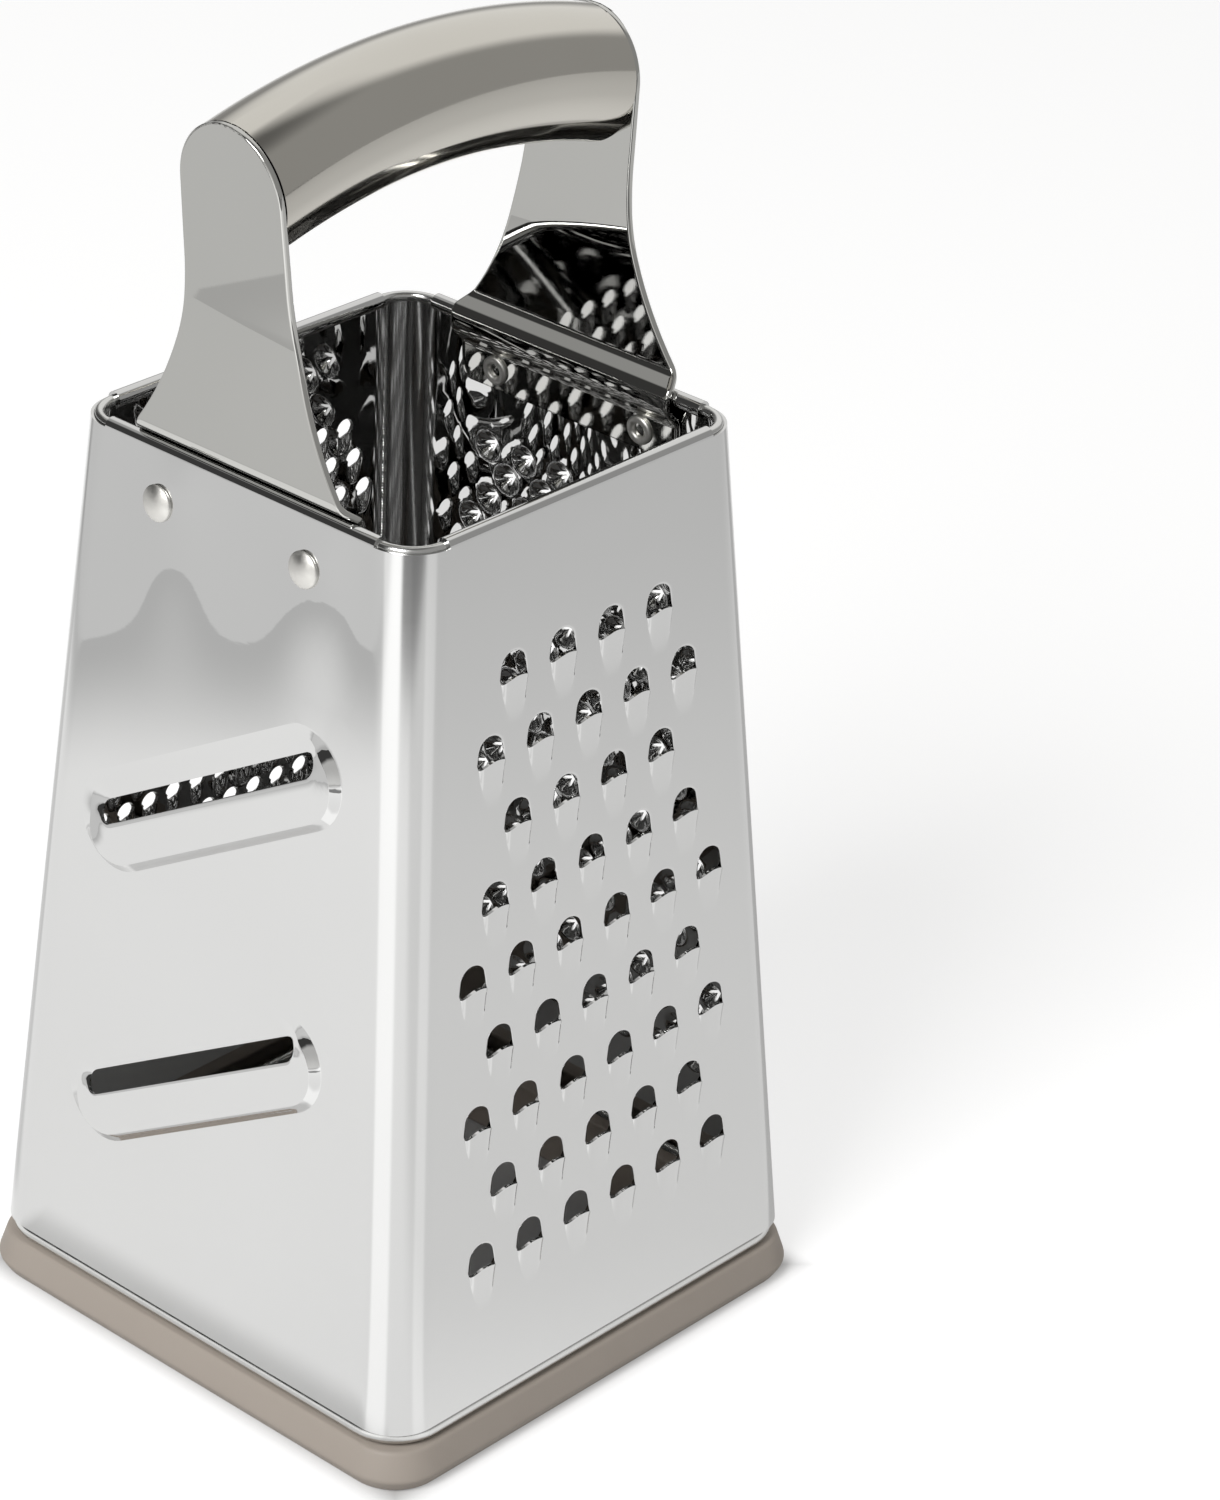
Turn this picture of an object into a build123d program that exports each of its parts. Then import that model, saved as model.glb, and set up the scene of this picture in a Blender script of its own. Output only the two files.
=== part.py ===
from build123d import *
import math
import os

# A four-sided kitchen box grater. Z is up, the floor is at zero and the axis of the tower is at X = Y = 0.
# The slicing wall faces -Y, the coarse wall +X, the fine wall +Y and the medium wall -X. All in millimetres.

# Tower: one folded stainless sheet, built as four walls that meet in the middle of each corner bend
sheet = 0.5                  # thickness
base_half = 49.5             # half width over the outside at the lower edge
rim_half = 38.35             # the same at the height of the rim
tower_height = 153.3         # lower edge to rim
bend_radius = 8.0            # outside of the corner bends

# Wires: one rolled into the rim, one round the open base
rim_wire_d = 1.8
base_wire_d = 3.2
wire_play = 0.03             # round the rim wire inside its roll
hem_gap = 0.2                # between the end of a roll and the start of the corner bend
hem_curl = 300.0             # degrees of the roll
hem_strip = 3.0              # straight stretch of wall that carries the roll

# Base ring: soft foot, pushed on from below
ring_top = 7.45              # height of its outer wall
ring_overhang = 0.4          # how far its upper edge stands out past the tower
ring_top_corner = 8.3        # plan radius of its corners at the upper edge
ring_flare = 1.7             # from its upper edge out to its widest line
ring_flare_height = 2.5      # height of the widest line
ring_foot_step = 1.6         # how far it draws in again down to the floor
ring_wall = 3.0              # lip that stands inside the base wire
ring_lip_rise = 5.55         # of the lip over the outer wall
seat_gap = 0.3               # between the ring and what sits in it

# Handle: two pressed straps and an arched tube
strap = 1.2                  # thickness
grip_r = 11.2
grip_wall = 1.2
grip_rise = 5.86             # of the tube's middle over its ends
grip_over_waist = 24.1       # from the waist of the strap up to the tube's axis, at its ends
waist_over_rim = 23.2
hip_overhang = 0.45          # outside of the strap past the wall, just above the rim
waist_tuck = 1.0             # from there in to the waist
top_splay = 2.1              # from the waist out to the tube's axis
strap_turn_radius = 60.0     # of the slight bow at the waist
jog_lean = 55.0              # degrees from upright, where the strap steps in over the rim
jog_radius = 1.6             # inside radius of its bends
rim_play = 0.1               # between the strap and the roll of the rim
foot_drop = 6.2              # from the rim down to where the foot meets the wall
foot_height = 7.3
foot_half = 24.5
foot_corner = 2.5
waist_widening = 0.3         # of half the strap's width, from the tube down to the start of the flare
flare_drop = 11.1            # from the tube's axis down to the start of the flare
flare_radius = 56.0

# Rivets: two through each strap and its wall
rivet_spread = 16.4          # either side of the middle
rivet_rise = 3.9             # over the lower edge of the strap's foot
rivet_head_d = 6.2
rivet_head_h = 1.5
rivet_edge_h = 0.5           # straight edge of the head, under its dome
shank_d = 4.0
shank_play = 0.05
flare_d = 5.2
flare_h = 0.7
flare_bore_d = 2.4
flare_bore_depth = 1.8

# Slicing wall: two long slots in pressed bulges
slot_length = 54.4
slot_width = 3.9
slot_angle = 29.8
slot_x = -1.6
upper_slot_up = 97.4         # up the wall, from its lower edge
lower_slot_up = 46.8
bulge_rise = 1.6
bulge_half = 7.2
bulge_overhang = 4.5         # past each end of the slot, before its shift
bulge_shift = 0.65           # along the slot, to the right
bulge_drop = 1.2             # its middle line under the lower edge of the slot

# Coarse wall: scooped teeth
coarse_counts = [4, 5, 4, 5, 6, 5, 6, 5, 6]
coarse_pitch = 11.3
coarse_row = 12.76
coarse_top = 126.0           # lips of the first row, up the wall
coarse_width = 6.0
coarse_mouth = 4.9           # height of the opening above the lip
coarse_rise = 1.0
coarse_fade = 6.4

# Medium wall: small almond-shaped teeth
medium_pitch = 5.57
medium_row = 6.5
medium_top = 127.0
medium_low = 17.0
medium_margin = 10.5
medium_width = 3.5
medium_mouth = 3.7
medium_rise = 0.8
medium_fade = 2.4

# Fine wall: round raised cups, pierced by four-pointed stars
fine_pitch = 8.5
fine_row = 5.0
fine_top = 127.8
fine_low = 19.0
fine_margin = 15.2
fine_shift = 1.1
cup_d = 5.6
cup_top_d = 4.2
cup_rise = 0.9
star_d = 3.4
star_waist_share = 0.45      # of the star's outer radius

overrun = 2.0                # how far every cut runs past what it cuts

# Sizes that follow
lean = math.atan((base_half - rim_half) / tower_height)
lean_deg = math.degrees(lean)
wire_r = base_wire_d / 2
base_wire_corner = bend_radius
ring_top_half = base_half + ring_overhang
ring_flare_half = ring_top_half + ring_flare
wire_low = ring_top + seat_gap
wire_nest = math.sqrt(wire_r ** 2 - (wire_r - sheet) ** 2)
tower_low = wire_low + wire_r + wire_nest
rim_height = tower_low + tower_height
hem_r = rim_wire_d / 2 + wire_play + sheet
hem_height = rim_height - hem_r
hem_half_length = rim_half - bend_radius - hem_gap
strap_hip_half = rim_half + hip_overhang
strap_waist_half = strap_hip_half - waist_tuck
strap_top_half = strap_waist_half + top_splay
waist_height = rim_height + waist_over_rim
grip_axis_height = waist_height + grip_over_waist
waist_half_width = grip_r + waist_widening
waist_width_height = grip_axis_height - flare_drop
foot_top = rim_height - foot_drop
foot_low = foot_top - foot_height
rivet_height = foot_low + rivet_rise


def half_at(height):
    return base_half - (height - tower_low) * math.tan(lean)


hem_half = half_at(hem_height) - hem_r / math.cos(lean)
rim_inner_half = hem_half - hem_r
wall_plane = Plane(
    origin=(0, -base_half, tower_low),
    x_dir=(1, 0, 0),
    z_dir=(0, -math.cos(lean), math.sin(lean)),
)


# Helpers

def block(x0, x1, y0, y1, z0, z1):
    box = Box(x1 - x0, y1 - y0, z1 - z0)
    return box.moved(Location(((x0 + x1) / 2, (y0 + y1) / 2, (z0 + z1) / 2)))


def single(shape):
    solids = sorted(shape.solids(), key=lambda s: s.volume)
    return solids[-1]


def turned(shape, degrees):
    return shape.moved(Location((0, 0, 0), (0, 0, degrees)))


# Tower walls

def frustum(inset, radius, low, high):
    sections = []
    for height in (low, high):
        side = 2 * (half_at(height) - inset)
        sections.append(Plane.XY.offset(height) * RectangleRounded(side, side, radius))
    return loft(sections, ruled=True)


def hem_section():
    """The rolled edge: a strip of wall that curls inwards round the rim wire."""
    mid_r = hem_r - sheet / 2
    start = (-hem_half - mid_r * math.cos(lean), hem_height + mid_r * math.sin(lean))
    foot = (start[0] - hem_strip * math.sin(lean), start[1] - hem_strip * math.cos(lean))
    rise = Line(foot, start)
    roll = CenterArc((-hem_half, hem_height), mid_r, 180 - lean_deg, -hem_curl)
    return Plane.YZ * trace([rise, roll], line_width=sheet)


def blank_wall(tower):
    """One bare wall on the -Y side, with half of each corner bend and its rolled rim."""
    reach = base_half * 2
    corner = Polyline((0, 0), (reach, -reach), (-reach, -reach), close=True)
    wedge = extrude(make_face(corner), rim_height + overrun)
    notch = block(-hem_half_length, hem_half_length, -reach, 0,
                  hem_height - hem_r, rim_height + overrun)
    wall = (tower & wedge) - notch
    strip = extrude(hem_section(), hem_half_length, both=True)
    return single(wall + strip)


def staggered_rows(top, low, row, pitch, margin):
    """Places of a staggered pattern that widens down the wall."""
    places = []
    for index in range(int((top - low) / row) + 1):
        up = top - index * row
        room = (half_at(tower_low + up * math.cos(lean)) - margin) / pitch
        if index % 2:
            offsets = [k for k in range(-int(room), int(room) + 1)]
        else:
            reach = int(room + 0.5)
            offsets = [k + 0.5 for k in range(-reach, reach)]
        places += [Location((offset * pitch, up, 0)) for offset in offsets]
    return places


def rivet_places():
    up = (rivet_height - tower_low) / math.cos(lean)
    return [Location((-rivet_spread, up, 0)), Location((rivet_spread, up, 0))]


# Pressed details: each is drawn once in a patch of sheet, in the frame of the wall
# (X along the wall, Y up it, Z out of it)

def swatch(size):
    """A square patch of sheet, wide enough for one detail."""
    return block(-size, size, -size, size, -sheet, 0)


def pressing(patch, size):
    """The skin of the detail in a patch, and its outlines on the outside and the inside of the sheet."""
    faces = sorted(patch.faces(), key=lambda f: f.area)
    inside, outside = sorted(faces[-2:], key=lambda f: f.center().Z)
    skin = []
    for face in faces[:-2]:
        centre = face.center()
        if max(abs(centre.X), abs(centre.Y)) < size - sheet:
            skin.append(face)
    return skin, outside.inner_wires(), inside.inner_wires()


def pressed(blank, details):
    """The blank wall with every detail at each of its places."""
    faces = sorted(blank.moved(wall_plane.location.inverse()).faces(), key=lambda f: f.area)
    inside, outside = sorted(faces[-2:], key=lambda f: f.center().Z)
    skins, outside_holes, inside_holes = [], [], []
    for (skin, outer_wires, inner_wires), places in details:
        for place in places:
            skins += [face.moved(place) for face in skin]
            outside_holes += [wire.moved(place) for wire in outer_wires]
            inside_holes += [wire.moved(place) for wire in inner_wires]
    flats = [Face(outside.outer_wire(), outside_holes), Face(inside.outer_wire(), inside_holes)]
    wall = Solid(Shell(faces[:-2] + flats + skins))
    return wall.moved(wall_plane.location)


def rivet_hole():
    size = shank_d
    hole = Cylinder(shank_d / 2 + shank_play, overrun * 2)
    return pressing(swatch(size) - hole, size)


# Slicing wall

def capsule(radius, sunk):
    """A long round-ended bar lying along the slot, sunk behind the wall."""
    half_run = slot_length / 2 + bulge_overhang - bulge_half
    reach = half_run + radius
    side = math.sqrt(0.5) * radius
    edge = [
        Line((-reach, 0), (reach, 0)),
        ThreePointArc((-reach, 0), (-half_run - side, side), (-half_run, radius)),
        Line((-half_run, radius), (half_run, radius)),
        ThreePointArc((half_run, radius), (half_run + side, side), (reach, 0)),
    ]
    return revolve(make_face(edge), Axis.X).moved(Location((bulge_shift, -bulge_drop, -sunk)))


def slot_bulge():
    size = slot_length
    radius = (bulge_half ** 2 + bulge_rise ** 2) / (2 * bulge_rise)
    sunk = radius - bulge_rise
    slot = extrude(SlotOverall(slot_length, slot_width), bulge_rise + overrun, both=True)
    slot = slot.moved(Location((0, slot_width / 2, 0)))
    outside = block(-size, size, -size, size, -sheet, bulge_rise + overrun)
    patch = swatch(size) + (capsule(radius, sunk) & outside)
    return pressing(patch - capsule(radius - sheet, sunk) - slot, size)


def face_slicer(blank):
    slots = [Location((slot_x, up, 0), (0, 0, slot_angle)) for up in (upper_slot_up, lower_slot_up)]
    return pressed(blank, [(slot_bulge(), slots), (rivet_hole(), rivet_places())])


# Grating walls

def tooth(width, mouth_height, rise, fade):
    """An arched opening with a raised lip below it, which fades down the wall as a half cone."""
    size = width + fade
    half = width / 2
    radius = (half ** 2 + rise ** 2) / (2 * rise)
    sunk = radius - rise
    shoulder = mouth_height - half
    arch = [
        Line((-half, 0), (half, 0)),
        Line((half, 0), (half, shoulder)),
        ThreePointArc((half, shoulder), (0, mouth_height), (-half, shoulder)),
        Line((-half, shoulder), (-half, 0)),
    ]
    mouth = extrude(make_face(arch), rise + overrun, both=True)
    place = Location((0, 0, -sunk), (-90, 0, 0))
    top = (Align.CENTER, Align.CENTER, Align.MAX)
    outer = Cone(sunk, radius, fade, align=top).moved(place)
    inner = Cone(sunk - sheet, radius - sheet, fade, align=top).moved(place)
    outside = block(-size, size, -size, 0, -sheet, rise + overrun)
    patch = swatch(size) + (outer & outside)
    return pressing(patch - inner - mouth, size)


def face_coarse(blank):
    places = []
    for index, count in enumerate(coarse_counts):
        for column in range(count):
            x = (column - (count - 1) / 2) * coarse_pitch
            places.append(Location((x, coarse_top - index * coarse_row, 0)))
    return pressed(blank, [(tooth(coarse_width, coarse_mouth, coarse_rise, coarse_fade), places)])


def face_medium(blank):
    places = staggered_rows(medium_top, medium_low, medium_row, medium_pitch, medium_margin)
    return pressed(blank, [(tooth(medium_width, medium_mouth, medium_rise, medium_fade), places)])


def star_cup():
    """A round raised cup, pierced by a four-pointed star."""
    size = cup_d
    points = []
    for index in range(8):
        radius = star_d / 2 * (star_waist_share if index % 2 else 1)
        turn = math.radians(45 * index)
        points.append((radius * math.cos(turn), radius * math.sin(turn)))
    star = extrude(make_face(Polyline(*points, close=True)), cup_rise + overrun, both=True)
    base = (Align.CENTER, Align.CENTER, Align.MIN)
    outer = Cone(cup_d / 2, cup_top_d / 2, cup_rise, align=base)
    inner = Cone(cup_d / 2, cup_top_d / 2, cup_rise, align=base).moved(Location((0, 0, -sheet)))
    patch = swatch(size) + outer - inner - star
    return pressing(patch, size)


def face_fine(blank):
    places = staggered_rows(fine_top, fine_low, fine_row, fine_pitch, fine_margin)
    shifted = [Location((-fine_shift, 0, 0)) * place for place in places]
    return pressed(blank, [(star_cup(), shifted), (rivet_hole(), rivet_places())])


# Wires and base ring

def square_loop(half, corner, height, radius):
    path = Plane.XY.offset(height) * RectangleRounded(2 * half, 2 * half, corner)
    wire = path.face().outer_wire()
    start = wire @ 0
    section = Plane(origin=start, z_dir=wire % 0) * Circle(radius)
    return single(sweep(section, path=wire))


def rim_wire():
    return square_loop(hem_half, bend_radius - hem_r, hem_height, rim_wire_d / 2)


def base_wire():
    return square_loop(base_half - wire_r, base_wire_corner, wire_low + wire_r, wire_r)


def base_ring():
    """A soft ring under and inside the base wire, flared towards the floor."""
    lip_half = base_half - base_wire_d - seat_gap
    lip_corner = base_wire_corner - wire_r - seat_gap

    def outline(half, height):
        corner = ring_top_corner + half - ring_top_half
        return Plane.XY.offset(height) * RectangleRounded(2 * half, 2 * half, corner)

    widest = outline(ring_flare_half, ring_flare_height)
    foot = loft([outline(ring_flare_half - ring_foot_step, 0), widest], ruled=True)
    body = loft([widest, outline(ring_top_half, ring_top)], ruled=True)
    lip_top = ring_top + ring_lip_rise
    lip = extrude(RectangleRounded(2 * lip_half, 2 * lip_half, lip_corner), lip_top)
    bore_half = lip_half - ring_wall
    bore = RectangleRounded(2 * bore_half, 2 * bore_half, lip_corner - ring_wall)
    return single(foot + body + lip - extrude(bore, lip_top, both=True))


# Handle

def strap_path():
    """Middle line of the strap in the YZ plane, for the leg at +Y, top to foot."""
    step = math.radians(jog_lean)
    out = strap / 2
    clear = hem_r + rim_play
    passing_half = rim_inner_half - rim_play - out
    # The sloping stretch passes the rolled rim at the clearance, measured square to it
    offset = clear + out
    normal = (math.cos(step), -math.sin(step))
    level = hem_half * normal[0] + hem_height * normal[1] - offset

    def height_on_jog(y):
        return (y * normal[0] - level) / -normal[1]

    hip = (strap_hip_half - out, height_on_jog(strap_hip_half - out))
    passing_top = (passing_half, height_on_jog(passing_half))
    foot_y = half_at(foot_top) - (sheet + out) / math.cos(lean)
    passing_low = (passing_half, foot_top + (foot_y - passing_half))
    end = (half_at(foot_low - overrun) - (sheet + out) / math.cos(lean), foot_low - overrun)
    top_height = grip_axis_height + grip_rise + grip_r + overrun
    slope = (strap_top_half - strap_waist_half) / (grip_axis_height - waist_height)
    top = (strap_waist_half - out + slope * (top_height - waist_height), top_height)
    waist = (strap_waist_half - out, waist_height)
    return [top, waist, hip, passing_top, passing_low, (foot_y, foot_top), end]


def strap_solid():
    bend = jog_radius + strap / 2
    radii = [strap_turn_radius, bend, bend, bend, bend]
    path = FilletPolyline(strap_path(), radius=radii)
    section = trace(path, line_width=strap)
    return extrude(Plane.YZ * section, foot_half + overrun, both=True)


def arch_centre():
    run = strap_top_half
    radius = (run ** 2 + grip_rise ** 2) / (2 * grip_rise)
    return radius, grip_axis_height + grip_rise - radius


def grip_bar(radius, reach):
    """A piece of the arched round bar, past both legs."""
    arch_r, centre_z = arch_centre()
    angle = math.degrees(math.asin(reach / arch_r))
    section = Plane.XZ * Circle(radius).moved(Location((0, arch_r, 0)))
    bar = revolve(section, Axis.X, revolution_arc=2 * angle)
    bar = bar.moved(Location((0, 0, 0), (-angle, 0, 0)))
    return bar.moved(Location((0, 0, centre_z)))


def leg_outline():
    drop = math.sqrt(flare_radius ** 2 - (flare_radius - (foot_half - waist_half_width)) ** 2)
    flare_low = waist_width_height - drop
    right = [
        (grip_r, grip_axis_height),
        (waist_half_width, waist_width_height),
        (foot_half, flare_low),
        (foot_half, foot_low + foot_corner),
        (foot_half - foot_corner, foot_low),
    ]
    left = [(-x, z) for x, z in right]
    edges = []
    for side, sign in ((right, 1), (left, -1)):
        edges.append(Line(side[0], side[1]))
        edges.append(RadiusArc(side[1], side[2], -sign * flare_radius))
        edges.append(Line(side[2], side[3]))
        edges.append(RadiusArc(side[3], side[4], sign * foot_corner))
    edges.append(Line(right[0], left[0]))
    edges.append(Line(right[-1], left[-1]))
    return make_face(edges)


def handle_leg():
    bar = grip_bar(grip_r, strap_top_half + 2 * strap)
    outline = extrude(Plane.XZ * leg_outline(), 2 * base_half, both=True)
    strap_body = strap_solid()
    leg = (strap_body & bar) + (strap_body & outline)
    hole = Cylinder(shank_d / 2 + shank_play, 2 * base_half - 2 * foot_half)
    holes = [turned(hole.moved(wall_plane.location * place), 180) for place in rivet_places()]
    return single(leg - holes)


def handle_grip():
    """The tube, cut at both ends along the inner sides of the straps."""
    reach = strap_top_half + 2 * strap
    tube = grip_bar(grip_r, reach) - grip_bar(grip_r - grip_wall, reach + strap)
    top, waist = strap_path()[:2]
    angle = math.atan2(top[0] - waist[0], top[1] - waist[1])
    half_strap = strap / 2 / math.cos(angle)
    low_y, high_y = waist[0] - half_strap, top[0] - half_strap
    corners = [(low_y, waist[1]), (high_y, top[1]), (-high_y, top[1]), (-low_y, waist[1])]
    between = extrude(Plane.YZ * make_face(Polyline(*corners, close=True)), 2 * grip_r, both=True)
    return single(tube & between)


# Rivets

def rivet():
    """A domed head outside, a shank through wall and strap, a flared hollow end inside."""
    dome_h = rivet_head_h - rivet_edge_h
    dome_radius = ((rivet_head_d / 2) ** 2 + dome_h ** 2) / (2 * dome_h)
    grip_length = sheet + strap
    dome = Sphere(dome_radius).moved(Location((0, 0, rivet_head_h - dome_radius)))
    dome = dome & block(-rivet_head_d, rivet_head_d, -rivet_head_d, rivet_head_d, rivet_edge_h, 2 * rivet_head_h)
    edge = Cylinder(rivet_head_d / 2, rivet_edge_h, align=(Align.CENTER, Align.CENTER, Align.MIN))
    down = (Align.CENTER, Align.CENTER, Align.MAX)
    shank = Cylinder(shank_d / 2, grip_length, align=down)
    flare = Cylinder(flare_d / 2, flare_h, align=down).moved(Location((0, 0, -grip_length)))
    end = grip_length + flare_h
    bore = Cylinder(flare_bore_d / 2, flare_bore_depth + overrun, align=down)
    bore = bore.moved(Location((0, 0, flare_bore_depth - end)))
    return single(dome + edge + shank + flare - bore)


def build():
    tower = frustum(0, bend_radius, tower_low, hem_height)
    tower = tower - frustum(sheet / math.cos(lean), bend_radius - sheet, tower_low, hem_height)
    blank = blank_wall(tower)
    leg = handle_leg()
    studs = [rivet().moved(wall_plane.location * place) for place in rivet_places()]
    return {
        "face_slicer": face_slicer(blank),
        "face_coarse": turned(face_coarse(blank), 90),
        "face_fine": turned(face_fine(blank), 180),
        "face_medium": turned(face_medium(blank), -90),
        "rim_wire": rim_wire(),
        "base_wire": base_wire(),
        "base_ring": base_ring(),
        "handle_leg_front": turned(leg, 180),
        "handle_leg_back": leg,
        "handle_grip": handle_grip(),
        "rivet_front_left": studs[0],
        "rivet_front_right": studs[1],
        "rivet_back_left": turned(studs[0], 180),
        "rivet_back_right": turned(studs[1], 180),
    }


os.makedirs("parts", exist_ok=True)
for name, solid in build().items():
    export_step(solid, os.path.join("parts", name + ".step"))
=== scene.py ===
import math
import bpy
from mathutils import Matrix, Vector
from mathutils.geometry import delaunay_2d_cdt


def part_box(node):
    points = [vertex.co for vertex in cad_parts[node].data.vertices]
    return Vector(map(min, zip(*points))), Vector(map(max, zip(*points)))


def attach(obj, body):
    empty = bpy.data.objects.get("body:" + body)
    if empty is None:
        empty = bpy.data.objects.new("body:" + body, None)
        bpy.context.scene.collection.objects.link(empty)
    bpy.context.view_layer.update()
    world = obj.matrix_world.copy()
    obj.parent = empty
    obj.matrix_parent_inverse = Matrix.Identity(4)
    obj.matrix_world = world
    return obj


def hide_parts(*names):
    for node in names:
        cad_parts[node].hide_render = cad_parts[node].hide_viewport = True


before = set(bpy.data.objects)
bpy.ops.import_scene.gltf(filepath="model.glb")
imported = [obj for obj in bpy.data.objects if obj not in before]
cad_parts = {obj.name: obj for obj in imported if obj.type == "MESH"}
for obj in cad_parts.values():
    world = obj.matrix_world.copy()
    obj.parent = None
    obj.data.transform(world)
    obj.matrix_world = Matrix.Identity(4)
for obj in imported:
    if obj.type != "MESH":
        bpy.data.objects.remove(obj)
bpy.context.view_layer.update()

# Sizes are in millimetres, in the frame of the CAD model, until a mesh is made
MM = 0.001

# Tower
sheet = 0.5
bend_radius = 8.0
rim_half = 38.35
slicer_low, slicer_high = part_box("face_slicer")
tower_low = slicer_low.z / MM
base_half = -slicer_low.y / MM
rim_height = slicer_high.z / MM
lean = math.atan((base_half - rim_half) / (rim_height - tower_low))

# The walls aren't quite flat: they belly a little, and stand out round the rivets. Both fade away
# towards the bends, the foot and the rim, where the riveted walls keep them for longer
belly = 0.12
belly_across, belly_up = 21, 33
dent = 0.7
dent_half_width = 8
dent_above, dent_below = 7, 17
dent_shift = 3
riveted_walls = (0, 2)
fade_side, fade_foot, fade_top, fade_top_riveted = 9, 25, 10, 3

# Rolled rim and its wire
rim_wire_r = 0.9
hem_r = 1.43
hem_gap = 0.2
hem_curl = math.radians(300)
hem_height = rim_height - hem_r

# Base wire and silicone ring
wire_r = 1.6
wire_corner = 8.0
wire_mid_height = (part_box("base_wire")[0].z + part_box("base_wire")[1].z) / 2 / MM
wire_mid_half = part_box("base_wire")[1].x / MM - wire_r
ring_flare_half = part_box("base_ring")[1].x / MM
ring_flare_height = 2.5
ring_foot_step = 1.6
ring_corner = 10.0
ring_top = 7.45
ring_top_half = 49.9
ring_top_corner = 8.3
ring_lip_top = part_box("base_ring")[1].z / MM
ring_lip_half = 46.0
ring_lip_corner = 6.1
ring_wall = 3.0
ring_edge_r = 0.7

# Handle
strap = 1.2
grip_r = 11.2
waist_height = rim_height + 23.2
grip_axis_height = waist_height + 24.1
grip_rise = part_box("handle_grip")[1].z / MM - grip_axis_height - grip_r
strap_hip_half = rim_half + 0.45
strap_waist_half = strap_hip_half - 1.0
strap_top_half = strap_waist_half + 2.1
strap_turn_radius = 60.0
jog_lean = math.radians(55)
jog_radius = 1.6
rim_play = 0.1
foot_top = rim_height - 6.2
foot_low = foot_top - 7.3
foot_half = 24.5
foot_corner = 2.5
waist_half_width = grip_r + 0.3
waist_width_height = grip_axis_height - 11.1
flare_radius = 56.0
strap_edge_r = 0.42

# Weld inside the back bend, its angle measured from the wall with the almond teeth
weld_angle = 18.0
weld_width = 1.0
weld_height = 0.3
weld_sink = 0.1
weld_foot_gap, weld_rim_gap = 1.5, 1.0
ripple = 0.56
ripple_depth = 0.2
ripple_rows = 4
drift_depth, drift_rate = 0.05, 0.37

# Rivets
rivet_spread = 16.4
rivet_height = foot_low + 3.9
rivet_head_r = 3.1
rivet_head_h = 1.5
rivet_edge_h = 0.5
shank_r = 2.0
flare_r = 2.6
flare_h = 0.7
flare_bore_r = 1.2
flare_bore_depth = 1.8

# Slots of the slicing wall. The blade below a slot is raised, and falls back within a step that is
# longer at the slot's ends. Its edge is rolled down, and the sheet above it dips
slot_length = 54.4
slot_width = 3.9
slot_angle = math.radians(29.8)
slot_x = -1.6
slots_up = (97.4, 46.8)
lip_rise = 1.3
lip_reach = 8.7
lip_step = 1.5
lip_end_step = 2.6
lip_end_start, lip_end_run = 3, 5.5
lip_fall_right, lip_fall_left, lip_fall_run = 2, 4, 10
lip_overhang = 5.2
lip_shift = -0.5
lip_roll, lip_roll_share = 0.2, 0.1
slot_dip = 0.7
dip_reach = 5.0
slot_shares = [0, 0.04, 0.1, 0.25, 0.5, 0.75, 0.985, 1.015, 1.5, 1.97, 2.03, 2.2]

# Teeth: width, height of the mouth over the widest line, rise of the lip, length of the scoop,
# upward bow of the lip, exponents of the bow's fullness and of the rise's swell, and height of the
# widest line over the tooth's place. Columns, arch and rings say how finely the mesh follows them
coarse_tooth = dict(width=6.0, mouth=4.9, rise=1.05, fade=6.6, bow=1.0, full=1.0, swell=0.5,
                    seat=0.0, columns=14, arch=18, rings=8)
medium_tooth = dict(width=3.4, mouth=1.8, rise=0.6, fade=4.6, bow=-1.9, full=0.55, swell=1.0,
                    seat=1.9, columns=12, arch=12, rings=6)
tooth_band, tooth_margin = 0.07, 0.12
tooth_roll = 0.12
crease_spread, crease_taper = 1.03, 0.25
coarse_counts = [4, 5, 4, 5, 6, 5, 6, 5, 6]
coarse_pitch = 11.3
coarse_row = 12.76
coarse_top = 126.0
medium_rows = dict(top=127.0, low=17.0, row=6.5, pitch=5.57, margin=10.5)
fine_rows = dict(top=127.8, low=19.0, row=5.0, pitch=8.5, margin=15.2)
fine_shift = 1.1

# Cups of the fine wall. The foot eases into the wall over rings of (distance past the cup, rise)
cup_r = 2.8
cup_rise = 0.9
cup_edge_rise = 0.07
cup_foot = [(0.13, 0.015), (0.3, 0.0)]
star_r = 1.7
star_waist_share = 0.45
star_points = 4
spike = 0.9


def half_at(height):
    return base_half - (height - tower_low) * math.tan(lean)


# Places that follow from these sizes. Heights along a wall's slope are called up
hem_centre_half = half_at(hem_height) - hem_r / math.cos(lean)
hem_half_length = rim_half - bend_radius - hem_gap
up_seam = (hem_height + hem_r * math.sin(lean) - tower_low) / math.cos(lean)
up_rivet = (rivet_height - tower_low) / math.cos(lean)
rivet_places = [(-rivet_spread, up_rivet), (rivet_spread, up_rivet)]
arch_r = (strap_top_half ** 2 + grip_rise ** 2) / (2 * grip_rise)
arch_centre = grip_axis_height + grip_rise - arch_r
grip_end_angle = math.asin(strap_top_half / arch_r)
dome_half = grip_r / math.cos(grip_end_angle)

# Stations that a wall shares with its bends and with its rolled rim
level_count, hem_count = 26, 20
levels = [up_seam * i / level_count for i in range(level_count + 1)]
hem_stations = [hem_half_length * (2 * i / hem_count - 1) for i in range(hem_count + 1)]


# Mesh helpers

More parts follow.
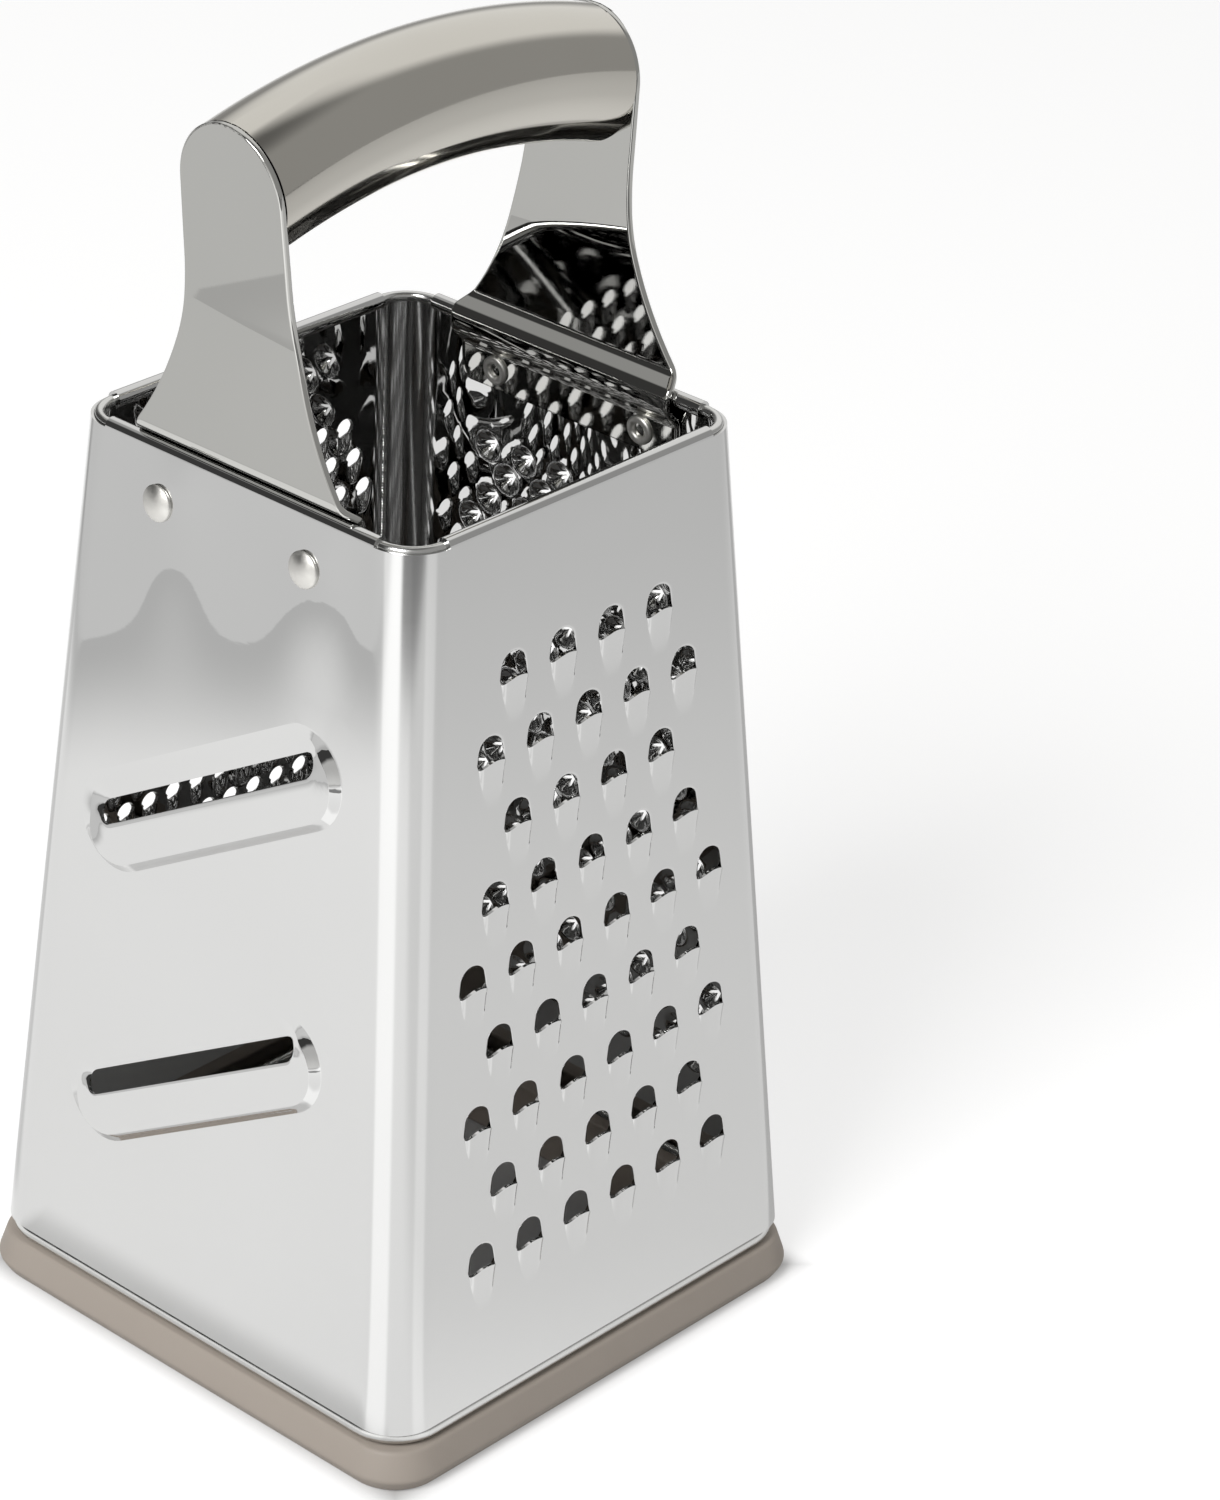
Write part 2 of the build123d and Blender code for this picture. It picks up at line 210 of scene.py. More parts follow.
def new_object(name, points, faces, material, body="grater", smooth=math.radians(35)):
    """A mesh from points in millimetres, smooth up to an angle, riding on a body."""
    mesh = bpy.data.meshes.new(name)
    mesh.from_pydata([(x * MM, y * MM, z * MM) for x, y, z in points], [], faces)
    mesh.validate()
    mesh.shade_smooth()
    mesh.set_sharp_from_angle(angle=smooth)
    obj = bpy.data.objects.new(name, mesh)
    bpy.context.scene.collection.objects.link(obj)
    mesh.materials.append(material)
    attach(obj, body)
    return obj


def welded(points, faces, grain=0.002):
    """Merges points that fall in the same place."""
    seen, order, remap = {}, [], []
    for p in points:
        key = (round(p[0] / grain), round(p[1] / grain), round(p[2] / grain))
        if key not in seen:
            seen[key] = len(order)
            order.append(p)
        remap.append(seen[key])
    kept = []
    for face in faces:
        loop = []
        for index in face:
            if not loop or remap[index] != loop[-1]:
                loop.append(remap[index])
        if loop[0] == loop[-1]:
            loop.pop()
        if len(loop) > 2:
            kept.append(loop)
    return order, kept


def grid_faces(rows, columns, start=0, wrap=False):
    """Quads of a grid of points that was listed row by row."""
    faces = []
    for r in range(rows - 1):
        for c in range(columns if wrap else columns - 1):
            n = (c + 1) % columns
            a, b = start + r * columns, start + (r + 1) * columns
            faces.append((a + c, a + n, b + n, b + c))
    return faces


def flipped(faces):
    return [tuple(reversed(face)) for face in faces]


def moved(faces, start):
    return [tuple(index + start for index in face) for face in faces]


def thickened(obj, thickness, offset):
    modifier = obj.modifiers.new("thickness", "SOLIDIFY")
    modifier.thickness = thickness * MM
    modifier.offset = offset
    modifier.use_even_offset = True


def applied(obj, angle):
    """Turns the modifiers of an object into its mesh and marks its sharp edges."""
    bpy.context.view_layer.update()
    done = obj.evaluated_get(bpy.context.evaluated_depsgraph_get())
    mesh = bpy.data.meshes.new_from_object(done)
    obj.modifiers.clear()
    obj.data = mesh
    mesh.shade_smooth()
    mesh.set_sharp_from_angle(angle=angle)
    normals = obj.modifiers.new("normals", "WEIGHTED_NORMAL")
    normals.keep_sharp = True
    normals.weight = 50


def smoothstep(t):
    t = min(max(t, 0.0), 1.0)
    return t * t * (3 - 2 * t)


def mix(a, b, t):
    return tuple(p + (q - p) * t for p, q in zip(a, b))


# Walls. A place on a wall is (across, up, out): along it, up its slope, and out of it. The walls
# are numbered anticlockwise in quarter turns: slicer 0, coarse 1, fine 2, medium 3

def bend_start(up):
    """Half width of the flat of a wall, between its corner bends."""
    return base_half - bend_radius - up * math.sin(lean)


def turned(point, quarter):
    x, y, z = point
    for _ in range(quarter % 4):
        x, y = -y, x
    return (x, y, z)


def on_wall(place, quarter):
    across, up, out = place
    y = -base_half + up * math.sin(lean) - out * math.cos(lean)
    z = tower_low + up * math.cos(lean) + out * math.sin(lean)
    return turned((across, y, z), quarter)


def warp(across, up, quarter):
    """How far the sheet stands out of a true plane."""
    riveted = quarter in riveted_walls
    top = fade_top_riveted if riveted else fade_top
    edge = 1 - smoothstep((abs(across) - bend_start(up) + fade_side) / fade_side)
    ends = smoothstep(up / fade_foot) * (1 - smoothstep((up - up_seam + top) / top))
    wave = belly * math.sin(across / belly_across + quarter)
    wave *= math.sin(up / belly_up + 1.3 * quarter)
    pull = 0.0
    for x, y in rivet_places if riveted else []:
        reach = dent_above if up > y else dent_below
        distance = math.hypot((across - x - dent_shift) / dent_half_width, (up - y) / reach)
        pull += dent * math.exp(-distance * distance)
    return edge * ends * (wave + pull)


def patch_faces(rings):
    """Points and quads of a patch from a hole's outline to its outer loop, both anticlockwise."""
    points = [p for ring in rings for p in ring]
    return points, flipped(grid_faces(len(rings), len(rings[0]), wrap=True))


def tooth_patch(width, mouth, rise, fade, bow, full, swell, seat, columns, arch, rings):
    """Rings of one tooth: a raised lip under an arched mouth, a scoop that fades down the wall."""
    half = width / 2
    shoulder = mouth - half
    band = tooth_band * width
    margin = tooth_margin * width
    least = 0.1 * math.hypot(half, fade)
    lip, crease, rim = [], [], []
    for i in range(columns + 1):
        c = -math.cos(math.pi * i / columns)
        drop = max(0.0, 1 - abs(c) ** 5) ** 0.5
        height = rise * max(0.0, 1 - abs(c) ** 2.6) ** swell
        lip.append((half * c, bow * (1 - c * c) ** full, height))
        crease.append((half * c * (crease_spread - crease_taper * drop), -fade * drop, 0.0))
        away = (half * c, -(fade + half) * drop)
        push = margin / max(math.hypot(*away), least)
        rim.append((half * c * crease_spread + away[0] * push, -(fade + margin) * drop, 0.0))
    over, over_band, over_rim = [], [], []
    for i in range(1, arch):
        turn = math.pi * i / arch
        x, y = math.cos(turn), math.sin(turn)
        lift = shoulder * min(1.0, 1.6 * (1 - abs(x) ** 6))
        over.append((half * x, lift + half * y, -tooth_roll))
        over_band.append(((half + band) * x, lift + (half + band) * y, 0.0))
        over_rim.append(((half + margin) * x, lift + (half + margin) * y, 0.0))
    result = []
    for k in range(rings + 1):
        t = k / rings
        scoop = [(*mix(a, b, t)[:2], a[2] * (1 - t) ** 1.4) for a, b in zip(lip, crease)]
        hood = [(*mix(a, b, t)[:2], -tooth_roll * (1 - t) ** 2) for a, b in zip(over, over_band)]
        result.append(scoop + hood)
    result.append(rim + over_rim)
    return [[(x, y + seat, out) for x, y, out in ring] for ring in result]


def cup_patch(count=32, rings=5):
    """Rings of one raised cup, pierced by a star whose points of metal stand up."""
    result = []
    for k in range(rings + 1):
        t = k / rings
        ring = []
        for i in range(count):
            turn = 2 * math.pi * i / count
            wave = abs(((i * 2 * star_points / count) % 2) - 1)
            edge = star_r * (star_waist_share + (1 - star_waist_share) * wave)
            radius = edge + (cup_r - edge) * t
            bulge = (cup_rise - cup_edge_rise) * max(0.0, 1 - (radius / cup_r) ** 3)
            out = cup_edge_rise + bulge + spike * (1 - wave) * (1 - t) ** 3
            ring.append((radius * math.cos(turn), radius * math.sin(turn), out))
        result.append(ring)
    foot = result[-1]
    for past, out in cup_foot:
        outer = cup_r + past
        result.append([(outer * p[0] / cup_r, outer * p[1] / cup_r, out) for p in foot])
    return result


def hole_patch(count=28):
    """Rings of a plain round hole for a rivet."""
    turns = [2 * math.pi * i / count for i in range(count)]
    radii = (shank_r, rivet_head_r * 0.8, rivet_head_r * 1.4)
    return [[(r * math.cos(a), r * math.sin(a), 0.0) for a in turns] for r in radii]


def capsule_loop(half_run, radius, centre, shift=0.0):
    """A long loop with round ends, anticlockwise from the start of its lower side."""
    side, arc = 44, 18
    loop = []
    for k in range(side):
        loop.append((shift + half_run * (2 * k / side - 1), centre - radius))
    for k in range(arc):
        a = math.pi * (k / arc - 0.5)
        loop.append((shift + half_run + radius * math.cos(a), centre + radius * math.sin(a)))
    for k in range(side):
        loop.append((shift + half_run * (1 - 2 * k / side), centre + radius))
    for k in range(arc):
        a = math.pi * (k / arc + 0.5)
        loop.append((shift - half_run + radius * math.cos(a), centre + radius * math.sin(a)))
    return loop


def slot_rise(x, y, share):
    """How far the sheet stands out beside a slot.

    share is 0 at the opening, 1 where the raised part starts to fall and 2 where it has fallen.
    """
    plateau = lip_rise * (1.0 if share < 1 else max(0.0, 2 - share))
    rolled = lip_roll * max(0.0, 1 - share / lip_roll_share) ** 2
    upper = smoothstep((y - 0.1 * slot_width) / (0.8 * slot_width))
    at_end = smoothstep((abs(x) - slot_length / 2 + lip_end_start) / lip_end_run)
    end_fall = smoothstep((y + (lip_fall_right if x > 0 else lip_fall_left)) / lip_fall_run)
    raised = 1 - upper + (upper - end_fall) * at_end
    dip = slot_dip * upper * (1 - at_end) * (1 - smoothstep((y - slot_width) / dip_reach))
    return raised * (plateau - rolled) - dip


def slot_patch():
    """Rings of one slot, in a frame turned with it: a raised blade below, a shallow dip above."""
    opening = capsule_loop(slot_length / 2 - slot_width / 2, slot_width / 2, slot_width / 2)
    outer_r = (lip_reach + slot_width + dip_reach) / 2
    outer_run = slot_length / 2 + lip_overhang - outer_r
    outer = capsule_loop(outer_run, outer_r, outer_r - lip_reach, lip_shift)
    result = []
    for share in slot_shares:
        ring = []
        for a, b in zip(opening, outer):
            reach = math.hypot(b[0] - a[0], b[1] - a[1])
            steepness = abs(b[1] - a[1]) / reach
            step = min(lip_end_step + (lip_step - lip_end_step) * steepness, 0.6 * reach)
            kept = 1 - step / reach
            x, y = mix(a, b, kept * share if share < 1 else kept + (share - 1) * (1 - kept))
            across = x * math.cos(slot_angle) - y * math.sin(slot_angle)
            up = x * math.sin(slot_angle) + y * math.cos(slot_angle)
            ring.append((across, up, slot_rise(x, y, share)))
        result.append(ring)
    return result


def staggered(top, low, row, pitch, margin, shift=0.0):
    """Places in rows that get wider downwards with the wall, every other row half a pitch aside."""
    places = []
    for index in range(int((top - low) / row) + 1):
        up = top - index * row
        fitting = (half_at(tower_low + up * math.cos(lean)) - margin) / pitch
        if index % 2:
            offsets = range(-int(fitting), int(fitting) + 1)
        else:
            reach = int(fitting + 0.5)
            offsets = [k + 0.5 for k in range(-reach, reach)]
        places += [(offset * pitch + shift, up) for offset in offsets]
    return places


def coarse_places():
    places = []
    for index, count in enumerate(coarse_counts):
        for column in range(count):
            across = (column - (count - 1) / 2) * coarse_pitch
            places.append((across, coarse_top - index * coarse_row))
    return places


def encloses(loop, x, y):
    inside = False
    for k, (x1, y1) in enumerate(loop):
        x0, y0 = loop[k - 1]
        if (y0 > y) != (y1 > y) and x < (x1 - x0) * (y - y0) / (y1 - y0) + x0:
            inside = not inside
    return inside


def near_details(point, details, clearance=1.15):
    for rings, places in details:
        loop = [(p[0] * clearance, p[1] * clearance) for p in rings[-1]]
        reach_x = max(abs(x) for x, _ in loop)
        reach_y = max(abs(y) for _, y in loop)
        for place in places:
            x, y = point[0] - place[0], point[1] - place[1]
            if abs(x) < reach_x and abs(y) < reach_y and encloses(loop, x, y):
                return True
    return False


def spare_points(details, step=2.6, margin=0.8):
    """Points that keep the triangles of a wall's flat even, clear of its edges and its details."""
    spares = []
    for row in range(1, int(up_seam / step)):
        up = row * step
        reach = int((bend_start(up) - 1) / step)
        for k in range(-reach, reach + 1):
            x = k * step + (step / 2 if row % 2 else 0)
            if abs(x) < bend_start(up) - margin and not near_details((x, up), details):
                spares.append((x, up))
    return spares


def filled(outline, loops, spares):
    """Triangles between an outline and the loops inside it."""
    inside_only, grain, owned = 1, 1e-4, True
    coords = [Vector(p) for p in outline]
    rounds = [list(range(len(outline)))]
    for loop in loops:
        rounds.append(list(range(len(coords), len(coords) + len(loop))))
        coords += [Vector(p) for p in loop]
    coords += [Vector(p) for p in spares]
    points, _, faces, _, _, owners = delaunay_2d_cdt(coords, [], rounds, inside_only, grain, owned)
    kept = [tuple(f) for f, ids in zip(faces, owners) if len(ids) == 1]
    return [(p.x, p.y) for p in points], kept


def wall_skin(quarter, details):
    """Outside of one wall: its details, the flat filled in between them, and its rolled rim."""
    points, faces, loops = [], [], []
    for rings, places in details:
        local_points, local_faces = patch_faces(rings)
        for x, y in places:
            faces += moved(local_faces, len(points))
            for p in local_points:
                across, up = p[0] + x, p[1] + y
                points.append(on_wall((across, up, p[2] + warp(across, up, quarter)), quarter))
            loops.append([(p[0] + x, p[1] + y) for p in rings[-1]])

    foot_steps = 16
    foot = [(bend_start(0) * (2 * k / foot_steps - 1), 0.0) for k in range(foot_steps + 1)]
    right = [(bend_start(up), up) for up in levels[1:]]
    top = [(x, up_seam) for x in reversed(hem_stations)]
    left = [(-bend_start(up), up) for up in reversed(levels[1:])]
    flat_points, flat_faces = filled(foot + right + top + left, loops, spare_points(details))
    faces += moved(flat_faces, len(points))
    points += [on_wall((p[0], p[1], warp(p[0], p[1], quarter)), quarter) for p in flat_points]

    start = len(points)
    steps = 26
    for k in range(steps + 1):
        turn = math.pi - lean - hem_curl * k / steps
        y = -hem_centre_half + hem_r * math.cos(turn)
        z = hem_height + hem_r * math.sin(turn)
        points += [turned((x, y, z), quarter) for x in hem_stations]
    faces += grid_faces(steps + 1, len(hem_stations), start)
    return points, faces


def corner_skin(quarter):
    """The bend between a wall and the next one, anticlockwise."""
    steps = 14
    points = []
    for up in levels:
        height = tower_low + up * math.cos(lean)
        centre = half_at(height) - bend_radius
        for k in range(steps + 1):
            a = math.pi / 2 * k / steps
            x = centre + bend_radius * math.sin(a)
            y = -centre - bend_radius * math.cos(a)
            points.append(turned((x, y, height), quarter))
    return points, grid_faces(len(levels), steps + 1)


def tower_body(material):
    rivet_details = (hole_patch(), rivet_places)
    details = [
        [(slot_patch(), [(slot_x, up) for up in slots_up]), rivet_details],
        [(tooth_patch(**coarse_tooth), coarse_places())],
        [(cup_patch(), staggered(**fine_rows, shift=-fine_shift)), rivet_details],
        [(tooth_patch(**medium_tooth), staggered(**medium_rows))],
    ]
    points, faces = [], []
    for quarter in range(4):
        for part_points, part_faces in (wall_skin(quarter, details[quarter]), corner_skin(quarter)):
            faces += moved(part_faces, len(points))
            points += part_points
    points, faces = welded(points, faces)
    obj = new_object("grater_sheet", points, faces, material)
    thickened(obj, sheet, offset=-1)
    applied(obj, math.radians(38))
    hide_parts("face_slicer", "face_coarse", "face_fine", "face_medium")


def weld_bead(material):
    """The rippled seam inside the back bend, where the folded sheet closes."""
    turn = math.radians(90 - weld_angle)
    low, high = tower_low + weld_foot_gap, hem_height - weld_rim_gap
    rows = int((high - low) / ripple * ripple_rows)
    columns = 6
    points = []
    for r in range(rows + 1):
        height = low + (high - low) * r / rows
        centre = half_at(height) - bend_radius
        wave = ripple_depth * math.sin(2 * math.pi * r / ripple_rows)
        wave += drift_depth * math.sin(r * drift_rate)
        for c in range(columns + 1):
            swing = math.pi * c / columns
            out = bend_radius - sheet - (weld_height + wave) * math.sin(swing) + weld_sink
            side = turn - weld_width / 2 / bend_radius * math.cos(swing) * (1 + wave)
            points.append((-centre - out * math.sin(side), centre + out * math.cos(side), height))
    faces = grid_faces(rows + 1, columns + 1)
    obj = new_object("weld_bead", points, faces, material, smooth=math.radians(60))


# Rings round the base and the rim

def rounded_square(half, corner, arc_steps=12, side_steps=8):
    """Points of a rounded square, anticlockwise from the middle of its +X side."""
    loop = []
    for quarter in range(4):
        centre = half - corner
        for k in range(side_steps):
            loop.append(turned((half, centre * k / side_steps, 0), quarter))
        for k in range(arc_steps):
            a = math.pi / 2 * k / arc_steps
            x, y = centre + corner * math.cos(a), centre + corner * math.sin(a)
            loop.append(turned((x, y, 0), quarter))
        for k in range(side_steps):
            loop.append(turned((centre * (1 - k / side_steps), half, 0), quarter))
    return loop


def swept_ring(name, profile, material, body="grater"):
    """A closed ring from a loop of (half, corner radius, height), anticlockwise seen from +Y."""
    points = []
    for half, corner, height in profile:
        points += [(x, y, height) for x, y, _ in rounded_square(half, corner)]
    rows = len(profile)
    count = len(points) // rows
    faces = []
    for r in range(rows):
        n = (r + 1) % rows
        for c in range(count):
            d = (c + 1) % count
            faces.append((r * count + c, r * count + d, n * count + d, n * count + c))
    return new_object(name, points, faces, material, body)


def wire_profile(half, corner, height, radius, count=28):
    profile = []
    for k in range(count):
        a = 2 * math.pi * k / count
        aside = radius * math.cos(a)
        profile.append((half + aside, corner + aside, height + radius * math.sin(a)))
    return profile


def eased(corners, radius, steps=4):
    """A closed profile of (half, corner radius, height) with its corners rounded."""
    result = []
    count = len(corners)
    for i, here in enumerate(corners):
        before, after = Vector(corners[i - 1]), Vector(corners[(i + 1) % count])
        here = Vector(here)
        back, on = before - here, after - here
        reach = min(radius, back.length * 0.4, on.length * 0.4)
        start, end = here + back.normalized() * reach, here + on.normalized() * reach
        for k in range(steps + 1):
            t = k / steps
            result.append(tuple(start * (1 - t) ** 2 + here * 2 * t * (1 - t) + end * t * t))
    return result


def silicone_ring(material):
    bore = ring_lip_half - ring_wall
    bore_corner = ring_lip_corner - ring_wall
    corners = [
        (bore, bore_corner, 0.0),
        (ring_flare_half - ring_foot_step, ring_corner - ring_foot_step, 0.0),
        (ring_flare_half, ring_corner, ring_flare_height),
        (ring_top_half, ring_top_corner, ring_top),
        (ring_lip_half, ring_lip_corner, ring_top),
        (ring_lip_half, ring_lip_corner, ring_lip_top),
        (bore, bore_corner, ring_lip_top),
    ]
    obj = swept_ring("silicone_ring", eased(corners, ring_edge_r), material, body="base")
    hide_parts("base_ring")


def wires(material):
    profile = wire_profile(hem_centre_half, bend_radius - hem_r, hem_height, rim_wire_r)
    rim = swept_ring("rim_wire_bright", profile, material)
    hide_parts("rim_wire")
    profile = wire_profile(wire_mid_half, wire_corner, wire_mid_height, wire_r)
    base = swept_ring("base_wire_bright", profile, material)
    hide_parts("base_wire")


# Handle

def strap_corners():
    """Corners of the strap's middle line, (y, z), for the leg at +Y, top to foot."""
    out = strap / 2
    passing_half = hem_centre_half - hem_r - rim_play - out
    across, down = math.cos(jog_lean), math.sin(jog_lean)
    level = hem_centre_half * across - hem_height * down - (hem_r + rim_play + out)

    def height_on_jog(y):
        return (y * across - level) / down

    foot_y = half_at(foot_top) - (sheet + out) / math.cos(lean)
    end_y = half_at(foot_low) - (sheet + out) / math.cos(lean)
    slope = (strap_top_half - strap_waist_half) / (grip_axis_height - waist_height)
    top_height = grip_axis_height + dome_half
    top_y = strap_waist_half - out + slope * (top_height - waist_height)
    return [
        (top_y, top_height),
        (strap_waist_half - out, waist_height),
        (strap_hip_half - out, height_on_jog(strap_hip_half - out)),
        (passing_half, height_on_jog(passing_half)),
        (passing_half, foot_top + foot_y - passing_half),
        (foot_y, foot_top),
        (end_y, foot_low),
    ]


def filleted(corners, radii, spacing, arc_steps):
    """Points along a line of straight runs joined by arcs."""
    line = [Vector(corners[0])]
    for i in range(1, len(corners) - 1):
        before, here, after = Vector(corners[i - 1]), Vector(corners[i]), Vector(corners[i + 1])
        back, on = (before - here).normalized(), (after - here).normalized()
        half_angle = back.angle(on) / 2
        radius = radii[i - 1]
        reach = radius / math.tan(half_angle)
        centre = here + (back + on).normalized() * (radius / math.sin(half_angle))
        start, end = here + back * reach, here + on * reach
        first = start - centre
        sweep = first.angle_signed(end - centre)
        for k in range(arc_steps + 1):
            line.append(centre + Matrix.Rotation(-sweep * k / arc_steps, 2) @ first)
    line.append(Vector(corners[-1]))
    spread = [line[0]]
    for point in line[1:]:
        gap = point - spread[-1]
        parts = max(1, round(gap.length / spacing))
        base = spread[-1].copy()
        spread += [base + gap * k / parts for k in range(1, parts + 1)]
    return spread


def strap_half_width(height):
    """Half width of a leg: round over the grip, narrow at the waist, flared at the foot."""
    if height > grip_axis_height:
        share = (height - grip_axis_height) / dome_half
        return grip_r * math.sqrt(max(0.0, 1 - share * share))
    if height > waist_width_height:
        share = (grip_axis_height - height) / (grip_axis_height - waist_width_height)
        return grip_r + (waist_half_width - grip_r) * share
    fall = waist_width_height - height
    if fall < flare_radius:
        width = waist_half_width + flare_radius - math.sqrt(flare_radius ** 2 - fall ** 2)
        if width < foot_half:
            return width
    above = height - foot_low
    if above < foot_corner:
        rounding = math.sqrt(max(0.0, foot_corner ** 2 - (foot_corner - above) ** 2))
        return foot_half - foot_corner + rounding
    return foot_half


def leg(name, node, side, material):
    """One strap: side 1 stands at +Y, side -1 at -Y."""
    corners = strap_corners()
    radii = [strap_turn_radius] + [jog_radius + strap / 2] * 4
    line = filleted(corners, radii, spacing=2.0, arc_steps=7)
    waist_y, waist_z = corners[1]
    run = Vector(corners[0]) - Vector(corners[1])
    dome_steps, tail_steps, columns = 18, 4, 24
    rows = []
    for k in range(dome_steps + 1):
        height = grip_axis_height + dome_half * math.cos(math.pi / 2 * k / dome_steps)
        rows.append(Vector((waist_y + run.x * (height - waist_z) / run.y, height)))
    rows += [p for p in line if p.y < grip_axis_height - 0.5]
    tail = rows.pop()
    last = rows[-1]
    for k in range(1, tail_steps + 1):
        rows.append(last + (tail - last) * math.sin(math.pi / 2 * k / tail_steps))
    points = []
    for row in rows:
        width = strap_half_width(row.y)
        for c in range(columns + 1):
            share = -math.cos(math.pi * c / columns) * 0.5 + (2 * c / columns - 1) * 0.5
            points.append((width * share * side, row.x * side, row.y))
    faces = grid_faces(len(rows), columns + 1)
    points, faces = welded(points, flipped(faces) if side < 0 else faces)
    obj = new_object(name, points, faces, material)
    thickened(obj, strap, offset=0)
    edge = obj.modifiers.new("edge", "BEVEL")
    edge.width = strap_edge_r * MM
    edge.segments = 4
    edge.limit_method = "ANGLE"
    edge.angle_limit = math.radians(55)
    edge.use_clamp_overlap = False
    applied(obj, math.radians(50))
    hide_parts(node)


def grip(material):
    """The arched tube, which ends on the inner faces of the straps."""
    top, waist = strap_corners()[:2]
    slope = (top[0] - waist[0]) / (top[1] - waist[1])
    half_strap = strap / 2 * math.hypot(1, slope)

    def inner_half(height):
        return waist[0] - half_strap + slope * (height - waist[1])

    around, sections, rounds = 72, 48, 6
    points = []
    for k in range(sections + 1):
        for i in range(around):
            turn = 2 * math.pi * i / around
            radius = arch_r + grip_r * math.sin(turn)
            limit = grip_end_angle
            for _ in range(rounds):
                limit = math.asin(inner_half(arch_centre + radius * math.cos(limit)) / radius)
            angle = limit * (2 * k / sections - 1)
            y, z = radius * math.sin(angle), arch_centre + radius * math.cos(angle)
            points.append((grip_r * math.cos(turn), y, z))
    faces = grid_faces(sections + 1, around, wrap=True)
    obj = new_object("grip_tube", points, faces, material)
    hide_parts("handle_grip")


# Rivets

def lathed(name, profile, place, material, around=48):
    """A turned piece from a profile of (radius, out) along the outward direction of a wall."""
    points = []
    across, up, quarter = place
    for radius, out in profile:
        for k in range(around):
            a = 2 * math.pi * k / around
            x, y = across + radius * math.cos(a), up + radius * math.sin(a)
            points.append(on_wall((x, y, out), quarter))
    points, faces = welded(points, flipped(grid_faces(len(profile), around, wrap=True)))
    return new_object(name, points, faces, material)


def rivet_profile(seat):
    """Down the head, which lies on the sheet, along the shank and round the flared hollow end."""
    dome_h = rivet_head_h - rivet_edge_h
    ball = (rivet_head_r ** 2 + dome_h ** 2) / (2 * dome_h)
    reach = math.asin(rivet_head_r / ball)
    dome_steps, lip_steps = 12, 8
    head = []
    for k in range(dome_steps + 1):
        a = reach * k / dome_steps * 0.95
        head.append((ball * math.sin(a), rivet_head_h - ball + ball * math.cos(a)))
    head += [(rivet_head_r * 0.99, rivet_edge_h * 0.95), (rivet_head_r, rivet_edge_h * 0.7),
             (rivet_head_r, 0.2), (rivet_head_r * 0.97, 0.02), (shank_r, 0.0)]
    held = sheet + strap
    tail = [(shank_r, -held), (flare_r * 0.96, -held)]
    lip_r = (flare_r - flare_bore_r) / 2
    for k in range(lip_steps + 1):
        a = math.pi * k / lip_steps
        radius = flare_bore_r + lip_r + lip_r * math.cos(a)
        tail.append((radius, -held - flare_h * 0.4 - flare_h * 0.6 * math.sin(a)))
    bore_end = -(held + flare_h) + flare_bore_depth
    tail += [(flare_bore_r, bore_end), (0.0, bore_end)]
    return [(radius, out + seat) for radius, out in head] + tail


def rivets(material):
    names = {(0, -1): "rivet_front_left", (0, 1): "rivet_front_right",
             (2, -1): "rivet_back_left", (2, 1): "rivet_back_right"}
    for (quarter, side), node in names.items():
        place = (side * rivet_spread, up_rivet, quarter)
        obj = lathed(node + "_domed", rivet_profile(warp(*place)), place, material)
        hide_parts(node)


# Node helpers

def compass(azimuth, elevation=0.0):
    """Unit vector towards a place round the object. Azimuths are measured like the camera's."""
    a, e = math.radians(azimuth), math.radians(elevation)
    return Vector((math.sin(a) * math.cos(e), -math.cos(a) * math.cos(e), math.sin(e)))


def maths(tree, operation, *values):
    node = tree.nodes.new("ShaderNodeMath")
    node.operation = operation
    for socket, value in zip(node.inputs, values):
        if isinstance(value, (int, float)):
            socket.default_value = value
        else:
            tree.links.new(value, socket)
    return node.outputs[0]


def chained(tree, operation, first, *others):
    for value in others:
        first = maths(tree, operation, first, value)
    return first


def along(tree, vector, direction):
    node = tree.nodes.new("ShaderNodeVectorMath")
    node.operation = "DOT_PRODUCT"
    tree.links.new(vector, node.inputs[0])
    node.inputs[1].default_value = direction
    return node.outputs["Value"]


def sizes_of(tree, vector):
    """The three parts of a vector without their signs, as the outputs X, Y and Z."""
    positive = tree.nodes.new("ShaderNodeVectorMath")
    positive.operation = "ABSOLUTE"
    tree.links.new(vector, positive.inputs[0])
    split = tree.nodes.new("ShaderNodeSeparateXYZ")
    tree.links.new(positive.outputs[0], split.inputs[0])
    return split.outputs


def noise(tree, scale, stretch=(1, 1, 1), detail=3.0):
    """Noise over the piece's own place, stretched along an axis where the metal has a grain."""
    coords = tree.nodes.new("ShaderNodeTexCoord")
    mapping = tree.nodes.new("ShaderNodeMapping")
    mapping.inputs["Scale"].default_value = stretch
    texture = tree.nodes.new("ShaderNodeTexNoise")
    texture.inputs["Scale"].default_value = scale
    texture.inputs["Detail"].default_value = detail
    tree.links.new(coords.outputs["Object"], mapping.inputs["Vector"])
    tree.links.new(mapping.outputs["Vector"], texture.inputs["Vector"])
    return texture.outputs["Fac"]


def ranged(tree, value, start, end, low, high, interpolation="LINEAR"):
    node = tree.nodes.new("ShaderNodeMapRange")
    node.interpolation_type = interpolation
    numbers = {"From Min": start, "From Max": end, "To Min": low, "To Max": high}
    for name, number in numbers.items():
        node.inputs[name].default_value = number
    tree.links.new(value, node.inputs["Value"])
    return node.outputs["Result"]


def easing(tree, value, start, end, low=0.0, high=1.0):
    return ranged(tree, value, start, end, low, high, "SMOOTHSTEP")


def blended(tree, value, low, high):
    node = tree.nodes.new("ShaderNodeMix")
    node.data_type = "RGBA"
    colours = [socket for socket in node.inputs if socket.type == "RGBA"]
    colours[0].default_value, colours[1].default_value = (*low, 1), (*high, 1)
    tree.links.new(value, node.inputs[0])
    return [socket for socket in node.outputs if socket.type == "RGBA"][0]


# Materials. Noise mostly lies between 0.3 and 0.7

